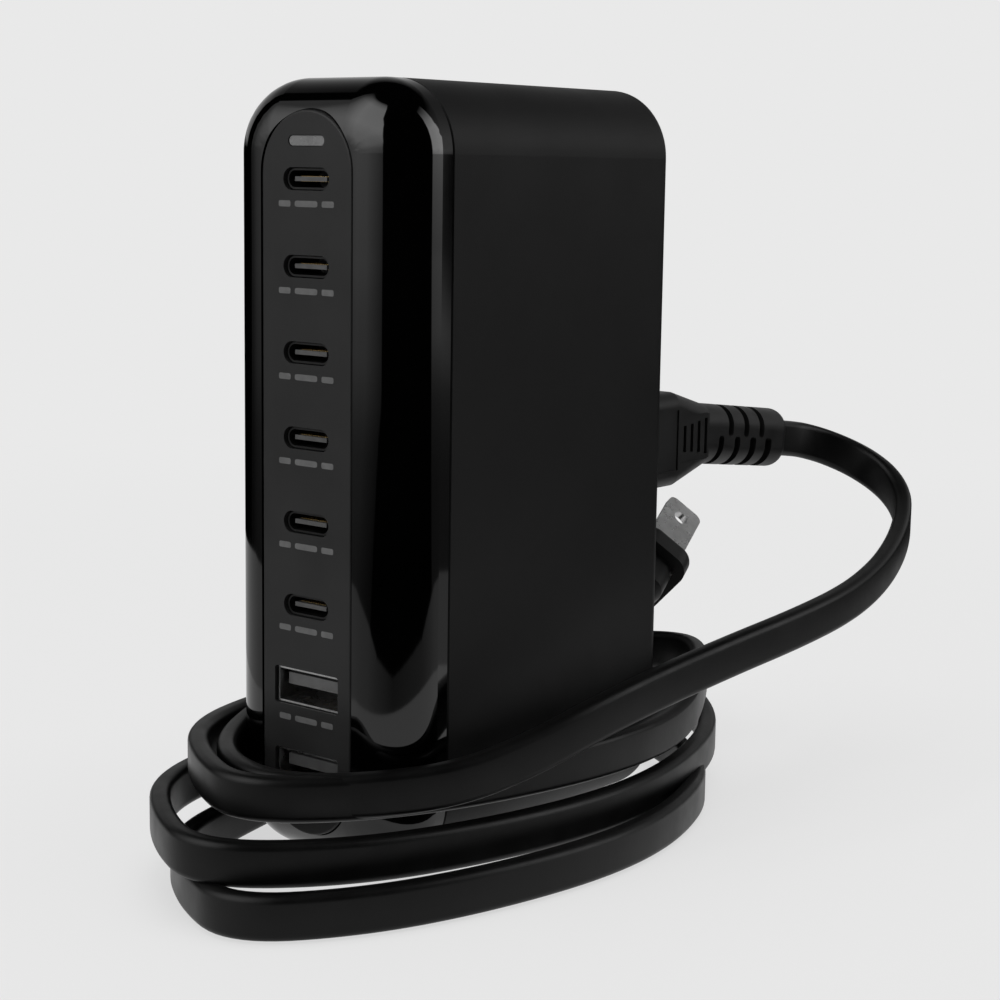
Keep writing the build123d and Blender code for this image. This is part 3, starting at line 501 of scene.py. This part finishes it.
def board_finish(name, mask, trace, tin, trace_pitch, pad_pitch, pad_size):
    """A printed board: tracks under a green mask, with tinned pads through it."""
    made = finish(name, mask, mask, 5.0, (0.32, 0.42), (0.4, 0.004))
    shader = made.node_tree.nodes["Principled BSDF"]
    place = add(made, "ShaderNodeTexCoord").outputs["Object"]
    turned = add(made, "ShaderNodeMapping", {"Rotation": (radians(90), 0.0, 0.0)})
    link(made, place, turned.inputs["Vector"])
    tracks = add(made, "ShaderNodeTexBrick", {
        "Color1": (*mask, 1.0), "Color2": (*mask, 1.0), "Mortar": (*trace, 1.0),
        "Scale": 1.0 / (trace_pitch * mm), "Mortar Size": 0.03, "Brick Width": 1.7, "Row Height": 0.35,
    })
    link(made, turned.outputs["Vector"], tracks.inputs["Vector"])
    pads = add(made, "ShaderNodeTexVoronoi", {"Scale": 1.0 / (pad_pitch * mm)})
    link(made, place, pads.inputs["Vector"])
    is_pad = add(made, "ShaderNodeMath", {1: pad_size}, operation="LESS_THAN")
    link(made, pads.outputs["Distance"], is_pad.inputs[0])
    mix = add(made, "ShaderNodeMix", data_type="RGBA")
    link(made, is_pad.outputs[0], mix.inputs[0])
    link(made, tracks.outputs["Color"], mix.inputs[6])
    mix.inputs[7].default_value = (*tin, 1.0)
    link(made, mix.outputs[2], shader.inputs["Base Color"])
    return made


# The boards: two glass-fibre boards under a green mask. The port board stands behind the sockets on
# four screws, and the main board lies along the left wall on four standoffs, with a link between them.
green_board = board_finish(
    "green_board", (0.008, 0.055, 0.022), (0.02, 0.12, 0.05), (0.55, 0.56, 0.55), 3.2, 3.4, 0.16,
)
dress(green_board, "port_board", "main_board")
screw_steel = finish("zinc_screw", grey(0.42), grey(0.55), 1.2, (0.24, 0.36), (0.12, 0.003), Metallic=1.0)
dress(screw_steel, "board_screws")
inner_moulding = finish("inner_moulding", grey(0.030), grey(0.042), 3.0, (0.42, 0.54), (0.3, 0.008))
dress(inner_moulding, "board_standoffs", "board_link")

# The transformer: a pair of pressed ferrite cores, fired to a grey-black ceramic, round a winding
# under layers of yellow tape.
ferrite = finish("fired_ferrite", grey(0.035), (0.060, 0.058, 0.056), 1.6, (0.55, 0.70), (0.25, 0.012))
dress(ferrite, "transformer_core", "input_choke")
winding_tape = finish(
    "winding_tape", (0.62, 0.42, 0.03), (0.70, 0.50, 0.05), 4.0, (0.24, 0.34), (1.2, 0.02), Coat_Weight=0.3,
)
tape_normal = winding_tape.node_tree.nodes["Principled BSDF"].inputs["Normal"]
tape_band, tape_waver, tape_step = 18.0, 0.4, 0.08
tape_edges = add(
    winding_tape, "ShaderNodeTexWave", {"Scale": 1.0 / (tape_band * mm), "Distortion": tape_waver},
    bands_direction="Z",
)
link(winding_tape, add(winding_tape, "ShaderNodeTexCoord").outputs["Object"], tape_edges.inputs["Vector"])
tape_steps = relief(winding_tape, tape_edges.outputs["Fac"], tape_step, tape_normal.links[0].from_socket)
link(winding_tape, tape_steps, tape_normal)
dress(winding_tape, "transformer_winding")

# The bulk capacitors: two aluminium cans, each in a black sleeve that is shrunk on. The fuse stands
# beside them, a clear glass tube between its caps.
can_sleeve = finish("shrunk_sleeve", grey(0.018), grey(0.030), 5.0, (0.26, 0.36), (1.0, 0.006))
dress(can_sleeve, "bulk_capacitor_1", "bulk_capacitor_2")
fuse_glass = finish(
    "fuse_glass", (0.50, 0.54, 0.54), (0.62, 0.66, 0.66), 2.0, (0.06, 0.12), (0.6, 0.001),
    Transmission_Weight=0.5,
)
dress(fuse_glass, "fuse")


# The heat spreader: a sheet of rolled aluminium against the right wall, cut with round corners.
rolled_aluminium = finish(
    "rolled_aluminium", grey(0.60), grey(0.68), 14.0, (0.26, 0.36), (0.3, 0.002), Metallic=1.0,
)
brushed(rolled_aluminium, (1.0, 0.03, 1.0), 0.4, 0.004)
dress(rolled_aluminium, "heat_spreader")

# The studio: an even pale floor and room. The floor looks even as far as it reaches, and it keeps
# the charger's soft shadow near its foot.
pale = 0.815
room_light = 0.30
floor_reach, floor_drop = 6.0, 0.2
shadow_near, shadow_far, shadow_share = 0.10, 0.50, 0.22
floor_white = 0.70

world = bpy.data.worlds.new("studio")
scene.world = world
world.use_nodes = True


def seen_share(made):
    """Is 1 for what the eye sees, straight, in gloss or through glass, and 0 for light on the object."""
    path = add(made, "ShaderNodeLightPath")
    seen = add(made, "ShaderNodeMath", operation="ADD")
    link(made, path.outputs["Is Camera Ray"], seen.inputs[0])
    link(made, path.outputs["Is Glossy Ray"], seen.inputs[1])
    all_seen = add(made, "ShaderNodeMath", operation="ADD", use_clamp=True)
    link(made, seen.outputs[0], all_seen.inputs[0])
    link(made, path.outputs["Is Transmission Ray"], all_seen.inputs[1])
    return all_seen.outputs[0]


def mixed(made, share, first, second):
    """One shader fading into another."""
    mix = add(made, "ShaderNodeMixShader")
    link(made, share, mix.inputs[0])
    link(made, first, mix.inputs[1])
    link(made, second, mix.inputs[2])
    return mix.outputs[0]


world.node_tree.nodes.clear()
room_glow = add(world, "ShaderNodeBackground", {"Color": (*grey(room_light), 1.0)})
pale_glow = add(world, "ShaderNodeBackground", {"Color": (*grey(pale), 1.0)})
world_out = add(world, "ShaderNodeOutputWorld")
world_mix = mixed(world, seen_share(world), room_glow.outputs[0], pale_glow.outputs[0])
link(world, world_mix, world_out.inputs["Surface"])

floor_mesh = bpy.data.meshes.new("floor")
floor_corners = [
    (x * floor_reach, y * floor_reach, -floor_drop * mm) for x, y in ((-1, -1), (1, -1), (1, 1), (-1, 1))
]
floor_mesh.from_pydata(floor_corners, [], [(0, 1, 2, 3)])
floor = bpy.data.objects.new("floor", floor_mesh)
scene.collection.objects.link(floor)
floor_pale = bpy.data.materials.new("floor_pale")
floor_pale.use_nodes = True
floor_pale.node_tree.nodes.clear()
distance = add(floor_pale, "ShaderNodeVectorMath", operation="LENGTH")
link(floor_pale, add(floor_pale, "ShaderNodeTexCoord").outputs["Object"], distance.inputs[0])
near = add(
    floor_pale, "ShaderNodeMapRange",
    {"From Min": shadow_near, "From Max": shadow_far, "To Min": shadow_share, "To Max": 0.0},
    interpolation_type="SMOOTHSTEP",
)
link(floor_pale, distance.outputs["Value"], near.inputs["Value"])
even_glow = add(floor_pale, "ShaderNodeEmission", {"Color": (*grey(pale), 1.0)})
shaded = add(floor_pale, "ShaderNodeBsdfDiffuse", {"Color": (*grey(floor_white), 1.0)})
seen_floor = mixed(floor_pale, near.outputs["Result"], even_glow.outputs[0], shaded.outputs[0])
floor_mix = mixed(floor_pale, seen_share(floor_pale), shaded.outputs[0], seen_floor)
link(floor_pale, floor_mix, add(floor_pale, "ShaderNodeOutputMaterial").inputs["Surface"])
floor.data.materials.append(floor_pale)

# The dark of the room, which only the gloss shows: black card round a pale table, and a dark room
# with two bright screens, at the front left and at the right behind. Angles are in degrees from the
# front, towards the right.
open_front, open_rear, back_end = (-75, 19), (114, 138), -95
edge_angles = (-180, -60, -30, 0, 15, 40, 90, 120, 138, 180)
table_edges = (0.29, 0.29, 0.26, 0.22, 0.187, 0.167, 0.185, 0.235, 0.25, 0.29)
table_shades = (0.35, 0.35, 0.42, 0.50, 0.66, 0.85, 0.74, 0.52, 0.50, 0.35)
card_start = 0.003
front_fade = [
    (0.26, 0.85), (0.40, 0.78), (0.55, 0.72), (0.70, 0.54), (0.90, 0.34),
    (1.3, 0.26), (1.8, 0.12), (2.3, 0.02),
]
rear_fade = [(0.26, 0.90), (0.45, 0.90), (0.70, 0.80), (1.10, 0.30), (2.3, 0.10)]
front_end = [(0.20, 3.0), (0.70, 19.0)]
front_soft, front_least = 30.0, 0.35
left_start, left_soft, left_least = -30.0, 45.0, 0.12
screen_front = [
    (0, 0.75), (2.4, 0.9), (4, 1.0), (6.5, 1.4), (12, 2.0), (32, 2.8), (62, 2.5), (69, 1.4), (73, 0),
]
screen_rear = [(0, 0.6), (2.4, 1.0), (5, 2.2), (9, 3.2), (34, 3.0), (58, 0)]
screen_back = [(5, 0), (8, 0.5), (18, 0.5), (34, 0.25), (52, 0)]
even_rise = 25
dome_reach = 2.4
fine_rings = [0.14 + 0.002 * k for k in range(85)]
wide_rings = [0.32 + 0.05 * k for k in range(43)]


def front_share(turn, end):
    """How the front screen's light falls off towards both its ends."""
    right = min(1.0, front_least + (1 - front_least) * (end - turn) / front_soft)
    left = min(1.0, max(left_least, 1 - (left_start - turn) / left_soft))
    return right * left


def flat_cover(turn, reach):
    """How much of the floor the flat card hides, at that angle and distance."""
    if reach < np.interp(turn, edge_angles, table_edges) + card_start:
        return float(np.interp(turn, edge_angles, table_shades))
    end = np.interp(reach, *zip(*front_end))
    if open_front[0] <= turn <= end:
        fade = np.interp(reach, *zip(*front_fade))
        return float(1 - (1 - fade) * front_share(turn, end))
    if open_rear[0] <= turn <= open_rear[1]:
        return float(np.interp(reach, *zip(*rear_fade)))
    return 1.0


def dome_glow(turn, rise):
    """How bright the room is in the gloss, at that angle and height, where 1 is white."""
    if open_front[0] <= turn <= open_front[1]:
        low = front_share(turn, open_front[1])
        share = low + (1 - low) * min(1.0, rise / even_rise) * (turn > left_start)
        return float(np.interp(rise, *zip(*screen_front)) * share)
    if open_rear[0] <= turn <= open_rear[1]:
        return float(np.interp(rise, *zip(*screen_rear)))
    if turn > open_rear[1] or turn < back_end:
        return float(np.interp(rise, *zip(*screen_back)))
    return 0.0


def card(name, rings, spot, values, look):
    """A card seen only in gloss, as a grid of angles and rings with a value at each point."""
    angles = range(-180, 181)
    grid = bpy.data.meshes.new(name)
    count = len(rings)
    faces = [
        (a * count + b, a * count + b + 1, (a + 1) * count + b + 1, (a + 1) * count + b)
        for a in range(len(angles) - 1) for b in range(count - 1)
    ]
    grid.from_pydata([spot(turn, ring) for turn in angles for ring in rings], [], faces)
    layer = grid.attributes.new("level", "FLOAT", "POINT")
    layer.data.foreach_set("value", [values(turn, ring) for turn in angles for ring in rings])
    grid.materials.append(look)
    made = bpy.data.objects.new(name, grid)
    made.visible_camera = made.visible_diffuse = made.visible_transmission = False
    made.visible_shadow = made.visible_volume_scatter = False
    scene.collection.objects.link(made)


def card_look(name, black):
    """A card's material: a black that covers by its level, or a glow of that level."""
    made = bpy.data.materials.new(name)
    made.use_nodes = True
    made.node_tree.nodes.clear()
    level = add(made, "ShaderNodeAttribute", attribute_name="level").outputs["Fac"]
    glow = add(made, "ShaderNodeEmission", {"Color": (*grey(0.0 if black else 1.0), 1.0)})
    shown = glow.outputs[0]
    if black:
        shown = mixed(made, level, add(made, "ShaderNodeBsdfTransparent").outputs[0], shown)
    else:
        link(made, level, glow.inputs["Strength"])
    link(made, shown, add(made, "ShaderNodeOutputMaterial").inputs["Surface"])
    return made


card(
    "flat_card", fine_rings + wide_rings,
    lambda turn, reach: (reach * sin(radians(turn)), -reach * cos(radians(turn)), 0.0),
    flat_cover, card_look("black_card", True),
)
card(
    "dome_screen", range(0, 91),
    lambda turn, rise: (
        dome_reach * cos(radians(rise)) * sin(radians(turn)),
        -dome_reach * cos(radians(rise)) * cos(radians(turn)),
        dome_reach * sin(radians(rise)),
    ), dome_glow, card_look("screen_glow", False),
)


def softbox(name, place, aim, size, brightness):
    """A soft flat lamp that faces a point. Its brightness is that of its face, where 1 is white."""
    lamp = bpy.data.lights.new(name, "AREA")
    lamp.shape = "RECTANGLE"
    lamp.size, lamp.size_y = size
    lamp.energy = brightness * pi * size[0] * size[1]
    holder = bpy.data.objects.new(name, lamp)
    holder.location = place
    holder.rotation_euler = (Vector(aim) - Vector(place)).to_track_quat("-Z", "Y").to_euler()
    holder.visible_glossy = False
    scene.collection.objects.link(holder)


# The lamps: a large soft one overhead and one at the front left, where the screen is.
middle = (0.0, 0.0, 0.06)
softbox("overhead", (0.0, 0.05, 0.92), middle, (0.95, 0.95), 3.0)
softbox("front_left", (-0.24, -1.15, 0.47), middle, (1.15, 0.72), 1.6)
